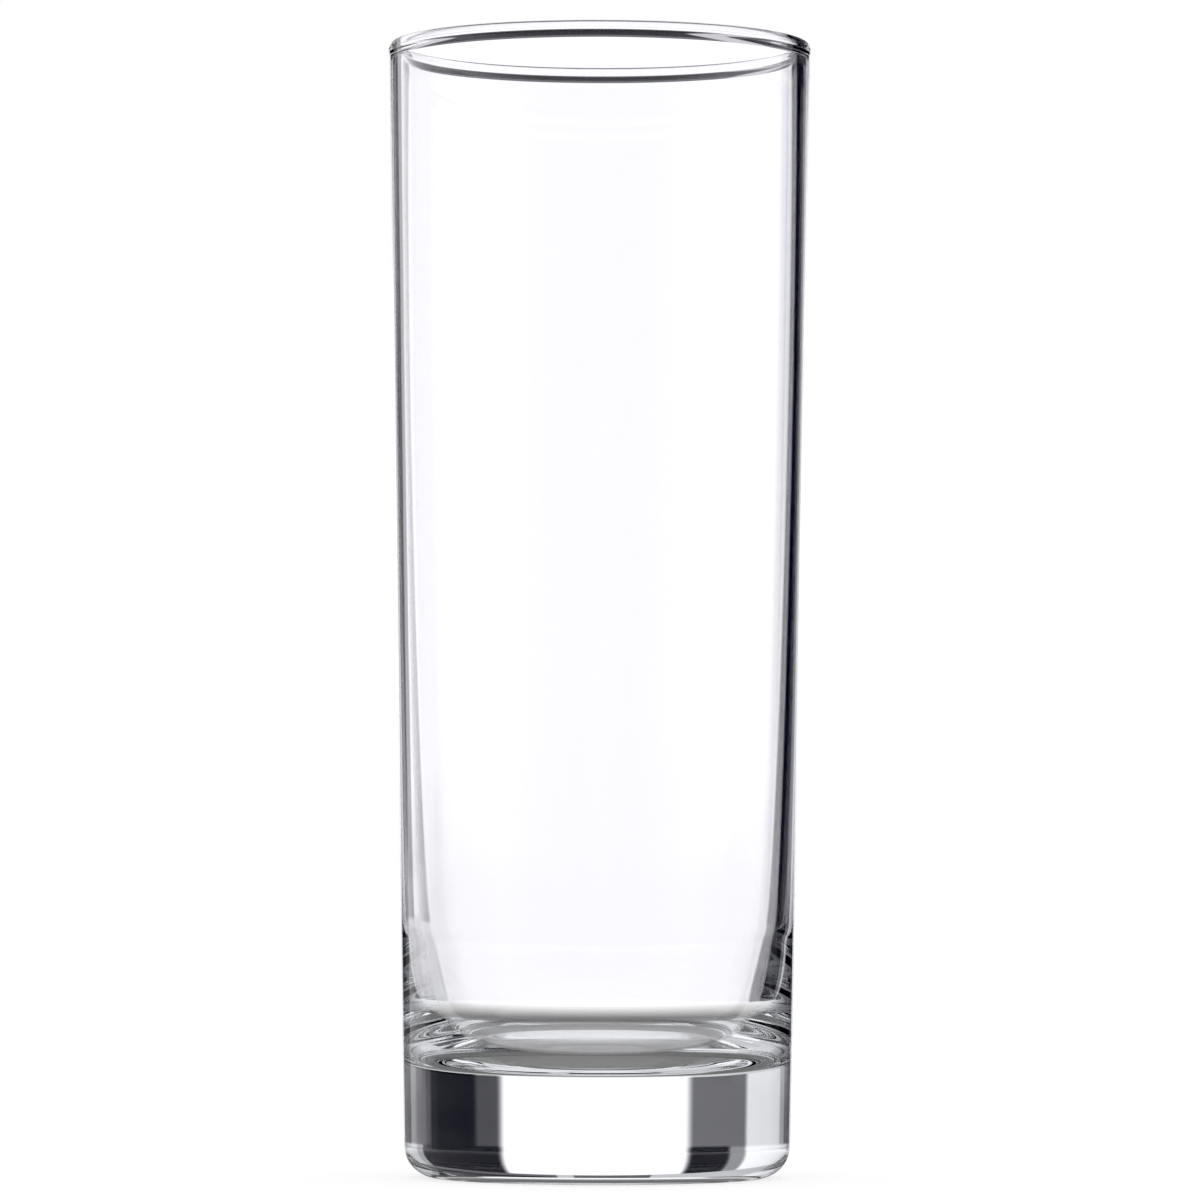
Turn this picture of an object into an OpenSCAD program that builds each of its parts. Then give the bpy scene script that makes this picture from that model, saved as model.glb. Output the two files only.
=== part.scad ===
// Straight-sided highball glass with a thick solid base: one piece of clear glass.
// Millimetres, +Z up. The origin is the centre of the resting plane under the foot.

/* [Overall] */
// Height from the resting plane to the crest of the rim
glass_h = 160; // [130:1:200]
// Outside diameter at the mouth, under the rim bead
mouth_d = 59.5; // [54:0.1:70]
// Outside diameter of the solid base, where the straight side starts above the heel
foot_d = 54.4; // [48:0.1:64]

/* [Wall] */
// Wall thickness at the mouth
mouth_wall_t = 1.8; // [1.2:0.1:3]
// Wall thickness at the foot of the cavity wall
low_wall_t = 2.7; // [1.2:0.05:5]
// Height of the foot of the cavity wall, where the rounded bottom starts
low_wall_z = 34; // [28:1:60]
// Lean of the cavity wall at its foot, in degrees
low_wall_lean = 8; // [0:0.1:10]
// Share of the cavity wall's height over which it straightens above its foot
low_wall_ease_share = 0.06; // [0.02:0.01:0.3]
// Share of the cavity wall's height over which it straightens below the mouth
high_wall_ease_share = 0.28; // [0.02:0.01:0.5]

/* [Cavity bottom] */
// Thickness of the solid base at its centre
base_t = 14.4; // [8:0.1:25]
// Share of the bottom's depth that its curve keeps to the wall, higher for a tighter corner
corner_drop_share = 1; // [0.3:0.01:1]
// Share of the bottom's radius that its curve keeps to the floor, higher for a flatter floor
floor_reach_share = 0.86; // [0.1:0.01:1]

/* [Rim] */
// How far the rounded, fire-polished rim bead stands proud of the wall on each side
bead_proud = 0.2; // [0.05:0.05:0.6]
// Radius of the hollow neck that blends the bead into the wall
neck_r = 5; // [1:0.5:10]

/* [Foot] */
// Radius of the rounded heel between the side and the foot ring
heel_r = 4.8; // [1:0.1:6]
// Width of the flat foot ring that the glass rests on
ring_w = 3; // [1.5:0.1:6]
// Depth of the shallow dome under the base
dome_depth = 0.8; // [0.3:0.1:3]

/* [Hidden] */
$fn = 180;

// Numbers of steps along the curves of the outline
dome_steps = 6;
heel_steps = 10;
neck_steps = 5;
bead_steps = 20;
wall_steps = 24;
bottom_steps = 32;

mouth_or = mouth_d / 2;
foot_or = foot_d / 2;
mouth_ir = mouth_or - mouth_wall_t;

// The rim bead is centred on the wall of the mouth, and each neck touches wall and bead
bead_r = mouth_wall_t / 2 + bead_proud;
bead_z = glass_h - bead_r;
bead_centre_r = mouth_or - mouth_wall_t / 2;
neck_centre_off = mouth_wall_t / 2 + neck_r;
neck_drop = sqrt((bead_r + neck_r) * (bead_r + neck_r) - neck_centre_off * neck_centre_off);
neck_angle = atan(neck_drop / neck_centre_off);
neck_z = bead_z - neck_drop;

// The cavity wall runs from the neck down to its foot, where the rounded bottom starts
low_ir = side_or(low_wall_z) - low_wall_t;
wall_h = neck_z - low_wall_z;
bottom_h = low_wall_z - base_t;

// The foot ring ends where the heel starts, and the dome spans the inside of the ring
ring_outer_r = foot_or - heel_r;
ring_inner_r = ring_outer_r - ring_w;
dome_angle = 2 * atan(dome_depth / ring_inner_r);
dome_r = ring_inner_r / sin(dome_angle);

// Outside radius of the straight side at the height z, between the heel and the neck
function side_or(z) = foot_or + (mouth_or - foot_or) * (z - heel_r) / (neck_z - heel_r);

// A Bezier curve through its end points p0 and p3, in steps, without p0 itself
function bezier(p0, p1, p2, p3, steps) = [
    for (i = [1 : steps])
        let (t = i / steps, s = 1 - t)
        s * s * s * p0 + 3 * t * s * s * p1 + 3 * t * t * s * p2 + t * t * t * p3
];

// The underside, from the centre of the dome out to the foot ring
function dome_points() = [
    for (i = [0 : dome_steps])
        let (a = dome_angle * i / dome_steps)
        [dome_r * sin(a), dome_depth - dome_r * (1 - cos(a))]
];

// The heel ends at the foot of the straight side, which the next outside point, on the neck, completes
function heel_points() = [
    for (i = [0 : heel_steps])
        let (a = 90 * i / heel_steps)
        [ring_outer_r + heel_r * sin(a), heel_r * (1 - cos(a))]
];

// A neck on the outside for side 1 and on the inside for side -1, from the wall up to the bead
function neck_points(side) = [
    for (i = [0 : neck_steps - 1])
        let (a = neck_angle * i / neck_steps)
        [bead_centre_r + side * (neck_centre_off - neck_r * cos(a)), neck_z + neck_r * sin(a)]
];

function bead_points() = [
    for (i = [0 : bead_steps])
        let (a = -neck_angle + (180 + 2 * neck_angle) * i / bead_steps)
        [bead_centre_r + bead_r * cos(a), bead_z + bead_r * sin(a)]
];

// The inside, from the neck down to the foot of the cavity wall
function wall_points() = bezier(
    [mouth_ir, neck_z],
    [mouth_ir, neck_z - wall_h * high_wall_ease_share],
    [low_ir + wall_h * low_wall_ease_share * tan(low_wall_lean), low_wall_z + wall_h * low_wall_ease_share],
    [low_ir, low_wall_z],
    wall_steps
);

// The rounded bottom of the cavity, from the foot of the wall to the centre of the floor
function bottom_points() = bezier(
    [low_ir, low_wall_z],
    [low_ir - bottom_h * corner_drop_share * tan(low_wall_lean), low_wall_z - bottom_h * corner_drop_share],
    [low_ir * floor_reach_share, base_t],
    [0, base_t],
    bottom_steps
);

function reversed(list) = [for (i = [len(list) - 1 : -1 : 0]) list[i]];

module tumbler_outline() {
    polygon(concat(
        dome_points(),
        heel_points(),
        neck_points(1),
        bead_points(),
        reversed(neck_points(-1)),
        wall_points(),
        bottom_points()
    ));
}

// The whole glass, which is formed from one gob and fire-polished as one piece
module tumbler() {
    color("azure", 0.35)
        rotate_extrude()
            tumbler_outline();
}

tumbler();
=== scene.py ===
import math

import bmesh
import bpy
from mathutils import Matrix, Vector


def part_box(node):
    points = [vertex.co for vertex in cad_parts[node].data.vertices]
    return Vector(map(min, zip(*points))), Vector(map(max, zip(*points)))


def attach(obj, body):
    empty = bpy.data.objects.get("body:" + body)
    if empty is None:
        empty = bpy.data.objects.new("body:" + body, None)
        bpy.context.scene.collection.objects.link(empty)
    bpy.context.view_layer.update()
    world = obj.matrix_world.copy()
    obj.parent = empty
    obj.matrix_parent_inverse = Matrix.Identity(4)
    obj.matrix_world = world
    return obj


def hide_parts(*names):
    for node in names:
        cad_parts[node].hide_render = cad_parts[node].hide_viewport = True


# Looks of a clear highball glass in a white studio. Metres and degrees, +Z up.
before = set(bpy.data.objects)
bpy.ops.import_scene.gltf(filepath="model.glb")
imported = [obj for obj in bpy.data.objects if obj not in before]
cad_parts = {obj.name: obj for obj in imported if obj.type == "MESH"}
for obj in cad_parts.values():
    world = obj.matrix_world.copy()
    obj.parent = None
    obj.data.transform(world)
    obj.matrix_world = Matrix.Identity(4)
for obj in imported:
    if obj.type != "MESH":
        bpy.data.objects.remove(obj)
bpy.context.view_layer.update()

MM = 0.001

# The glass, as in the solid that it stands for
CAD_NODE = "tumbler"
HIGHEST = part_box(CAD_NODE)[1]
GLASS_H = HIGHEST.z
RIM_R = HIGHEST.x
FOOT_R = 27.2 * MM
MOUTH_WALL_T = 1.8 * MM
LOW_WALL_T = 2.7 * MM
LOW_WALL_Z = 34 * MM
LOW_WALL_LEAN = 8
LOW_WALL_EASE_SHARE = 0.06
HIGH_WALL_EASE_SHARE = 0.28
BASE_T = 14.4 * MM
CORNER_DROP_SHARE = 1
FLOOR_REACH_SHARE = 0.86
BEAD_PROUD = 0.2 * MM
NECK_R = 5 * MM
HEEL_R = 4.8 * MM
RING_W = 3 * MM
DOME_DEPTH = 0.8 * MM

# Steps of the fine outline, and round the glass
DOME_STEPS = 12
HEEL_STEPS = 24
SIDE_STEPS = 60
NECK_STEPS = 8
BEAD_STEPS = 48
WALL_STEPS = 80
BOTTOM_STEPS = 72
TURN_STEPS = 256

# The camera: where the photograph was taken from, and where the glass lies in its square frame
FRAME_PX = 1200
PX_PER_MM = 7.097
AXIS_PX = 598.5
FOOT_PX = 1176.8
CAMERA_DISTANCE = 1.02
CAMERA_HEIGHT = 45.2 * MM
CAMERA_ROLL = 0.14
CLIP_START = 10 * MM
SENSOR_W = 36

# The tent of cards round the glass: white panel behind, grey and black cards at its sides.
# Azimuth 0 is straight behind the glass, and azimuths grow to the right.
TENT_R = 0.6
TENT_CENTRE_Z = 80 * MM
WHITE = 1.048
# Cards from left to right: the azimuth where each ends, and its tones low down, by the foot and by the wall
CARDS = [
    (-147, 0.3, 0.3, 0.55),
    (-139, 0.3, 0.3, 0.6),
    (-131, 0.3, 0.3, 0.66),
    (-123, 0.3, 0.3, 0.73),
    (-115, 0.3, 0.3, 0.8),
    (-72, 0.3, 0.05, 0.88),
    (-66, 0.5, 0.33, WHITE),
    (-60, 0.8, 0.68, WHITE),
    (-36.5, 0.85, 0.93, WHITE),
    (-30, 0.8, 0.44, 0.59),
    (-18.5, 0.85, 0.44, 0),
    (19.5, WHITE, WHITE, WHITE),
    (26.5, 0.5, 0.3, 0),
    (46, 0.02, 0.02, 0),
    (52, 0.25, 0.25, 0),
    (58, 0.25, 0.25, 0.68),
    (64, 0.45, 0.45, 0.88),
    (76, 0.25, 0.25, 0.95),
    (100, 0.05, 0.05, 0.88),
    (115, 0.2, 0.2, 0.88),
    (123, 0.3, 0.3, 0.8),
    (131, 0.3, 0.3, 0.73),
    (139, 0.3, 0.3, 0.66),
    (147, 0.3, 0.3, 0.6),
    (180, 0.3, 0.3, 0.55),
]
CARD_EDGE_HALF_W = 0.8
# Elevations up to which the low tones go, between which the foot's tones go, and from which the wall's go
LOW_ELEVATION = -12
FOOT_ELEVATIONS = (-10.8, -7)
WALL_ELEVATION = -4.5
# The top behind the glass is grey, then black and then almost white, and in front it is light
EAVES_ELEVATION = 18
EAVES_TONE = 0.4
ROOF_ELEVATION = 22
ROOF_TONE = 0.02
CROWN_ELEVATION = 36
CROWN_TONE = 0.95
# It is light, too, left of one azimuth and in a gap between two others
ROOF_LEFT_AZIMUTH = -11
ROOF_GAP_AZIMUTHS = (4.5, 8.5)
ROOF_GAP_TONE = 0.8
FRONT_ROOF_TONE = 0.88
ROOF_FRONT_AZIMUTH = 90
# Below this the tent is darker, like a table in shade
SKIRT_ELEVATION = -32.5
SKIRT_TONE = 0.4
# Half the height over which the tone changes at the edges of the skirt and the roof
SKIRT_EDGE_HALF_H = 2.5
ROOF_EDGE_HALF_H = 0.2
# Steps in a slow change of tone between two elevations
SOFT_ROWS = 5
# The cards are faintly violet: the blue that is added to each, and the share by which it is raised
CARD_BLUE = 0.006
CARD_BLUE_SHARE = 0.04
# The tent's columns, the elevation of its last rows and the step between plain rows
TENT_COLUMNS = 720
POLE_ELEVATION = 89
ROW_STEP = 10

# The shade on the table under the glass and round it, which fades out
UNDER_TONE = 0.5
SHADE_TONE = 0.42
TABLE_TONE = 1.0
SHADE_FADE_R = 38 * MM
SHADE_R = 60 * MM
SHADE_DROP = 0.2 * MM

# The glass: how it bends light, and the faint grey-green of its depth
REFRACTIVE_INDEX = 1.52
DEPTH_COLOUR = (0.9, 0.95, 0.945, 1)
DEPTH_DENSITY = 4
# Worn specks on the ring that it stands on
WORN_H = 0.15 * MM
SPECK_SCALE = 2500
SPECK_DETAIL = 4
SPECK_RANGE = (0.5, 0.8)
SPECK_ROUGHNESS = 0.4
# The faint waviness of moulded glass
WAVE_SCALE = 45
WAVE_DETAIL = 1
WAVE_STRENGTH = 0.15
WAVE_H = 0.1 * MM

# The floor, and how much light bounces in the glass
FLOOR_HALF_W = 6
FLOOR_PAINT = (0.3, 0.3, 0.3, 1)
FLOOR_GLOW = 0.75
BOUNCES_IN_GLASS = 16
MOST_BOUNCES = 20


def bezier(p0, p1, p2, p3, steps):
    """Points of a Bezier curve from p0 to p3, without p0"""
    points = []
    for i in range(1, steps + 1):
        t = i / steps
        s = 1 - t
        points.append(s**3 * p0 + 3 * t * s * s * p1 + 3 * t * t * s * p2 + t**3 * p3)
    return points


def arc(centre, radius, start, end, steps):
    """Points on an arc from the angle start to the angle end, both ends included"""
    angles = [start + (end - start) * i / steps for i in range(steps + 1)]
    return [centre + radius * Vector((math.cos(a), math.sin(a))) for a in angles]


def glass_outline():
    """Outline of the glass, from the middle of the dome round the rim to the middle of the cavity's floor"""
    half_wall = MOUTH_WALL_T / 2
    bead_r = half_wall + BEAD_PROUD
    bead_centre = Vector((RIM_R - bead_r, GLASS_H - bead_r))
    neck_off = half_wall + NECK_R
    neck_drop = math.sqrt((bead_r + NECK_R) ** 2 - neck_off**2)
    neck_angle = math.atan2(neck_drop, neck_off)
    neck_z = bead_centre.y - neck_drop
    mouth_or = bead_centre.x + half_wall
    mouth_ir = bead_centre.x - half_wall
    foot_side = Vector((FOOT_R, HEEL_R))
    mouth_side = Vector((mouth_or, neck_z))

    ring_outer = FOOT_R - HEEL_R
    ring_inner = ring_outer - RING_W
    dome_angle = 2 * math.atan(DOME_DEPTH / ring_inner)
    dome_r = ring_inner / math.sin(dome_angle)
    dome_centre = Vector((0, DOME_DEPTH - dome_r))

    low_share = (LOW_WALL_Z - HEEL_R) / (neck_z - HEEL_R)
    low_ir = foot_side.lerp(mouth_side, low_share).x - LOW_WALL_T
    wall_h = neck_z - LOW_WALL_Z
    bottom_h = LOW_WALL_Z - BASE_T
    lean = math.tan(math.radians(LOW_WALL_LEAN))
    wall_top = Vector((mouth_ir, neck_z))
    wall_foot = Vector((low_ir, LOW_WALL_Z))
    along_wall = Vector((lean, 1))
    floor_centre = Vector((0, BASE_T))

    right = math.pi / 2
    neck_outer = bead_centre + Vector((neck_off, -neck_drop))
    neck_inner = bead_centre + Vector((-neck_off, -neck_drop))
    dome = arc(dome_centre, dome_r, right, right - dome_angle, DOME_STEPS)
    heel = arc(Vector((ring_outer, HEEL_R)), HEEL_R, -right, 0, HEEL_STEPS)
    side = [foot_side.lerp(mouth_side, i / SIDE_STEPS) for i in range(1, SIDE_STEPS)]
    outer_neck = arc(neck_outer, NECK_R, math.pi, math.pi - neck_angle, NECK_STEPS)
    bead = arc(bead_centre, bead_r, -neck_angle, math.pi + neck_angle, BEAD_STEPS)
    inner_neck = arc(neck_inner, NECK_R, neck_angle, 0, NECK_STEPS)
    wall = bezier(
        wall_top,
        wall_top - Vector((0, wall_h * HIGH_WALL_EASE_SHARE)),
        wall_foot + along_wall * wall_h * LOW_WALL_EASE_SHARE,
        wall_foot,
        WALL_STEPS,
    )
    bottom = bezier(
        wall_foot,
        wall_foot - along_wall * bottom_h * CORNER_DROP_SHARE,
        Vector((low_ir * FLOOR_REACH_SHARE, BASE_T)),
        floor_centre,
        BOTTOM_STEPS,
    )
    return dome + heel + side + outer_neck[:-1] + bead + inner_neck[1:] + wall + bottom


def lathe(name, outline):
    """A smooth closed mesh: the outline, whose two ends lie on the axis, turned about Z"""
    bm = bmesh.new()
    turns = [2 * math.pi * j / TURN_STEPS for j in range(TURN_STEPS)]
    start = bm.verts.new((0, 0, outline[0].y))
    end = bm.verts.new((0, 0, outline[-1].y))
    rings = []
    for point in outline[1:-1]:
        rings.append([bm.verts.new((point.x * math.cos(a), point.x * math.sin(a), point.y)) for a in turns])
    for j in range(TURN_STEPS):
        k = (j + 1) % TURN_STEPS
        bm.faces.new((start, rings[0][k], rings[0][j]))
        bm.faces.new((end, rings[-1][j], rings[-1][k]))
        for lower, upper in zip(rings, rings[1:]):
            bm.faces.new((lower[j], lower[k], upper[k], upper[j]))
    bmesh.ops.recalc_face_normals(bm, faces=bm.faces)
    mesh = bpy.data.meshes.new(name)
    bm.to_mesh(mesh)
    bm.free()
    mesh.polygons.foreach_set("use_smooth", [True] * len(mesh.polygons))
    piece = bpy.data.objects.new(name, mesh)
    bpy.context.scene.collection.objects.link(piece)
    return piece


def new_material(name):
    """An empty node material: its nodes, its links and its output node"""
    material = bpy.data.materials.new(name)
    material.use_nodes = True
    tree = material.node_tree
    tree.nodes.clear()
    output = tree.nodes.new("ShaderNodeOutputMaterial")
    return material, tree.nodes, tree.links, output


def clear_glass():
    """Clear soda-lime glass, faintly grey-green in its depth, with worn specks on its foot ring"""
    material, nodes, links, output = new_material("clear_glass")
    glass = nodes.new("ShaderNodeBsdfPrincipled")
    glass.inputs["Base Color"].default_value = (1, 1, 1, 1)
    glass.inputs["IOR"].default_value = REFRACTIVE_INDEX
    glass.inputs["Transmission Weight"].default_value = 1
    links.new(glass.outputs["BSDF"], output.inputs["Surface"])

    depth = nodes.new("ShaderNodeVolumeAbsorption")
    depth.inputs["Color"].default_value = DEPTH_COLOUR
    depth.inputs["Density"].default_value = DEPTH_DENSITY
    links.new(depth.outputs["Volume"], output.inputs["Volume"])

    place = nodes.new("ShaderNodeTexCoord")
    height = nodes.new("ShaderNodeSeparateXYZ")
    links.new(place.outputs["Object"], height.inputs["Vector"])
    ring = nodes.new("ShaderNodeMapRange")
    ring.inputs["From Min"].default_value = WORN_H
    ring.inputs["From Max"].default_value = 0
    links.new(height.outputs["Z"], ring.inputs["Value"])
    specks = nodes.new("ShaderNodeTexNoise")
    specks.inputs["Scale"].default_value = SPECK_SCALE
    specks.inputs["Detail"].default_value = SPECK_DETAIL
    links.new(place.outputs["Object"], specks.inputs["Vector"])
    worn = nodes.new("ShaderNodeMapRange")
    worn.inputs["From Min"].default_value = SPECK_RANGE[0]
    worn.inputs["From Max"].default_value = SPECK_RANGE[1]
    worn.inputs["To Max"].default_value = SPECK_ROUGHNESS
    links.new(specks.outputs["Fac"], worn.inputs["Value"])
    wear = nodes.new("ShaderNodeMath")
    wear.operation = "MULTIPLY"
    links.new(ring.outputs["Result"], wear.inputs[0])
    links.new(worn.outputs["Result"], wear.inputs[1])
    links.new(wear.outputs["Value"], glass.inputs["Roughness"])

    waves = nodes.new("ShaderNodeTexNoise")
    waves.inputs["Scale"].default_value = WAVE_SCALE
    waves.inputs["Detail"].default_value = WAVE_DETAIL
    links.new(place.outputs["Object"], waves.inputs["Vector"])
    surface = nodes.new("ShaderNodeBump")
    surface.inputs["Strength"].default_value = WAVE_STRENGTH
    surface.inputs["Distance"].default_value = WAVE_H
    links.new(waves.outputs["Fac"], surface.inputs["Height"])
    links.new(surface.outputs["Normal"], glass.inputs["Normal"])
    return material


def linear(tone):
    """The linear value of a display tone from 0 to 1"""
    return tone / 12.92 if tone <= 0.04045 else ((tone + 0.055) / 1.055) ** 2.4


def share_between(value, start, end):
    """How far the value has gone from start to end, from 0 to 1"""
    return min(1, max(0, (value - start) / (end - start)))


def card_tone(azimuth, elevation):
    """Tone of the tent in a direction from its centre"""
    if elevation < SKIRT_ELEVATION:
        return SKIRT_TONE
    if elevation > EAVES_ELEVATION:
        if abs(azimuth) > ROOF_FRONT_AZIMUTH:
            return FRONT_ROOF_TONE
        if azimuth < ROOF_LEFT_AZIMUTH or ROOF_GAP_AZIMUTHS[0] < azimuth < ROOF_GAP_AZIMUTHS[1]:
            return ROOF_GAP_TONE
        if elevation > CROWN_ELEVATION:
            return CROWN_TONE
        return ROOF_TONE if elevation > ROOF_ELEVATION else EAVES_TONE
    low_share = share_between(elevation, FOOT_ELEVATIONS[0], LOW_ELEVATION)
    wall_share = share_between(elevation, FOOT_ELEVATIONS[1], WALL_ELEVATION)
    tones = [foot + (low - foot) * low_share + (wall - foot) * wall_share for _, low, foot, wall in CARDS]
    result = tones[0]
    for card, after in zip(CARDS, tones[1:]):
        share = share_between(azimuth, card[0] - CARD_EDGE_HALF_W, card[0] + CARD_EDGE_HALF_W)
        result += (after - result) * share
    return result


def tent_elevations():
    """Rows of the tent, close together where its tone changes"""
    rows = {-POLE_ELEVATION, POLE_ELEVATION, *range(ROW_STEP - 90, 90, ROW_STEP)}
    rows |= {SKIRT_ELEVATION - SKIRT_EDGE_HALF_H, SKIRT_ELEVATION + SKIRT_EDGE_HALF_H}
    for edge in (EAVES_ELEVATION, ROOF_ELEVATION, CROWN_ELEVATION):
        rows |= {edge - ROOF_EDGE_HALF_H, edge + ROOF_EDGE_HALF_H}
    for start, end in ((LOW_ELEVATION, FOOT_ELEVATIONS[0]), (FOOT_ELEVATIONS[1], WALL_ELEVATION)):
        rows |= {start + (end - start) * i / SOFT_ROWS for i in range(SOFT_ROWS + 1)}
    return sorted(rows)


def card_tent(camera):
    """A round tent of cards that stays with the camera, as when a glass is turned on a stand"""
    centre = Vector((0, 0, TENT_CENTRE_Z))
    azimuths = [360 * j / TENT_COLUMNS - 180 for j in range(TENT_COLUMNS)]
    elevations = tent_elevations()
    vertices = []
    colours = []
    for elevation in elevations:
        for azimuth in azimuths:
            a = math.radians(azimuth)
            e = math.radians(elevation)
            direction = Vector((math.sin(a) * math.cos(e), math.cos(a) * math.cos(e), math.sin(e)))
            vertices.append(centre + TENT_R * direction)
            value = linear(card_tone(azimuth, elevation))
            colours += [value, value, value * (1 + CARD_BLUE_SHARE) + CARD_BLUE, 1]
    count = len(azimuths)
    faces = []
    for i in range(len(elevations) - 1):
        for j in range(count):
            k = (j + 1) % count
            faces.append((i * count + j, i * count + k, (i + 1) * count + k, (i + 1) * count + j))
    for row in (0, len(elevations) - 1):
        faces.append(tuple(row * count + j for j in range(count)))
    mesh = bpy.data.meshes.new("card_tent")
    mesh.from_pydata(vertices, [], faces)
    mesh.attributes.new("tone", "FLOAT_COLOR", "POINT").data.foreach_set("color", colours)
    material, nodes, links, output = new_material("studio_cards")
    tone = nodes.new("ShaderNodeAttribute")
    tone.attribute_name = "tone"
    glow = nodes.new("ShaderNodeEmission")
    links.new(tone.outputs["Color"], glow.inputs["Color"])
    links.new(glow.outputs["Emission"], output.inputs["Surface"])
    mesh.materials.append(material)
    tent = bpy.data.objects.new("card_tent", mesh)
    bpy.context.scene.collection.objects.link(tent)
    tent.visible_camera = False
    tent.visible_diffuse = False
    tent.visible_shadow = False
    bpy.context.view_layer.update()
    tent.parent = camera
    tent.matrix_parent_inverse = camera.matrix_world.inverted()


def foot_shade():
    """The shade of the glass on the table, which only shows through the glass"""
    turns = [2 * math.pi * j / TURN_STEPS for j in range(TURN_STEPS)]
    rim = [(SHADE_R * math.cos(a), SHADE_R * math.sin(a), -SHADE_DROP) for a in turns]
    mesh = bpy.data.meshes.new("foot_shade")
    mesh.from_pydata(rim, [], [tuple(range(TURN_STEPS))])
    material, nodes, links, output = new_material("foot_shade")
    place = nodes.new("ShaderNodeTexCoord")
    distance = nodes.new("ShaderNodeVectorMath")
    distance.operation = "LENGTH"
    links.new(place.outputs["Object"], distance.inputs[0])
    fade = nodes.new("ShaderNodeMapRange")
    fade.inputs["From Min"].default_value = SHADE_FADE_R
    fade.inputs["From Max"].default_value = SHADE_R
    fade.inputs["To Min"].default_value = linear(SHADE_TONE)
    fade.inputs["To Max"].default_value = linear(TABLE_TONE)
    links.new(distance.outputs["Value"], fade.inputs["Value"])
    under = nodes.new("ShaderNodeMath")
    under.operation = "LESS_THAN"
    under.inputs[1].default_value = FOOT_R - HEEL_R
    links.new(distance.outputs["Value"], under.inputs[0])
    tone = nodes.new("ShaderNodeMix")
    tone.inputs["B"].default_value = linear(UNDER_TONE)
    links.new(under.outputs["Value"], tone.inputs["Factor"])
    links.new(fade.outputs["Result"], tone.inputs["A"])
    glow = nodes.new("ShaderNodeEmission")
    links.new(tone.outputs["Result"], glow.inputs["Strength"])
    links.new(glow.outputs["Emission"], output.inputs["Surface"])
    mesh.materials.append(material)
    shade = bpy.data.objects.new("foot_shade", mesh)
    bpy.context.scene.collection.objects.link(shade)
    shade.visible_camera = False
    shade.visible_diffuse = False
    shade.visible_shadow = False


def studio_floor():
    """A white floor that glows almost white by itself and keeps the shadow of the glass"""
    corners = [(x * FLOOR_HALF_W, y * FLOOR_HALF_W, 0) for x, y in ((-1, -1), (1, -1), (1, 1), (-1, 1))]
    mesh = bpy.data.meshes.new("studio_floor")
    mesh.from_pydata(corners, [], [tuple(range(len(corners)))])
    material, nodes, links, output = new_material("studio_floor")
    paint = nodes.new("ShaderNodeBsdfDiffuse")
    paint.inputs["Color"].default_value = FLOOR_PAINT
    glow = nodes.new("ShaderNodeEmission")
    glow.inputs["Strength"].default_value = FLOOR_GLOW
    both = nodes.new("ShaderNodeAddShader")
    links.new(paint.outputs["BSDF"], both.inputs[0])
    links.new(glow.outputs["Emission"], both.inputs[1])
    links.new(both.outputs["Shader"], output.inputs["Surface"])
    mesh.materials.append(material)
    floor = bpy.data.objects.new("studio_floor", mesh)
    bpy.context.scene.collection.objects.link(floor)
    floor.visible_transmission = False
    floor.visible_glossy = False


def studio_world():
    """Plain white all round"""
    world = bpy.data.worlds.new("studio_world")
    world.use_nodes = True
    background = world.node_tree.nodes["Background"]
    background.inputs["Color"].default_value = (1, 1, 1, 1)
    background.inputs["Strength"].default_value = 1
    bpy.context.scene.world = world


def studio_camera():
    """The camera of the photograph, level with the lower part of the glass"""
    metres_per_px = MM / PX_PER_MM
    horizon_px = FOOT_PX - CAMERA_HEIGHT / metres_per_px
    aim_x = (FRAME_PX / 2 - AXIS_PX) * metres_per_px
    aim_z = CAMERA_HEIGHT + (horizon_px - FRAME_PX / 2) * metres_per_px
    data = bpy.data.cameras.new("camera")
    data.sensor_width = SENSOR_W
    data.lens = SENSOR_W * CAMERA_DISTANCE / (FRAME_PX * metres_per_px)
    data.clip_start = CLIP_START
    camera = bpy.data.objects.new("camera", data)
    bpy.context.scene.collection.objects.link(camera)
    camera.location = (aim_x, -CAMERA_DISTANCE, CAMERA_HEIGHT)
    aim = Vector((aim_x, 0, aim_z)) - camera.location
    roll = Matrix.Rotation(math.radians(CAMERA_ROLL), 3, "Z").to_quaternion()
    camera.rotation_mode = "QUATERNION"
    camera.rotation_quaternion = aim.to_track_quat("-Z", "Y") @ roll
    bpy.context.scene.camera = camera
    return camera


glass = lathe("tumbler_glass", glass_outline())
glass.data.materials.append(clear_glass())
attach(glass, "root")
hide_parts(CAD_NODE)

camera = studio_camera()
card_tent(camera)
foot_shade()
studio_floor()
studio_world()
bpy.context.scene.cycles.glossy_bounces = BOUNCES_IN_GLASS
bpy.context.scene.cycles.transmission_bounces = BOUNCES_IN_GLASS
bpy.context.scene.cycles.max_bounces = MOST_BOUNCES
bpy.context.scene.view_settings.view_transform = "Standard"
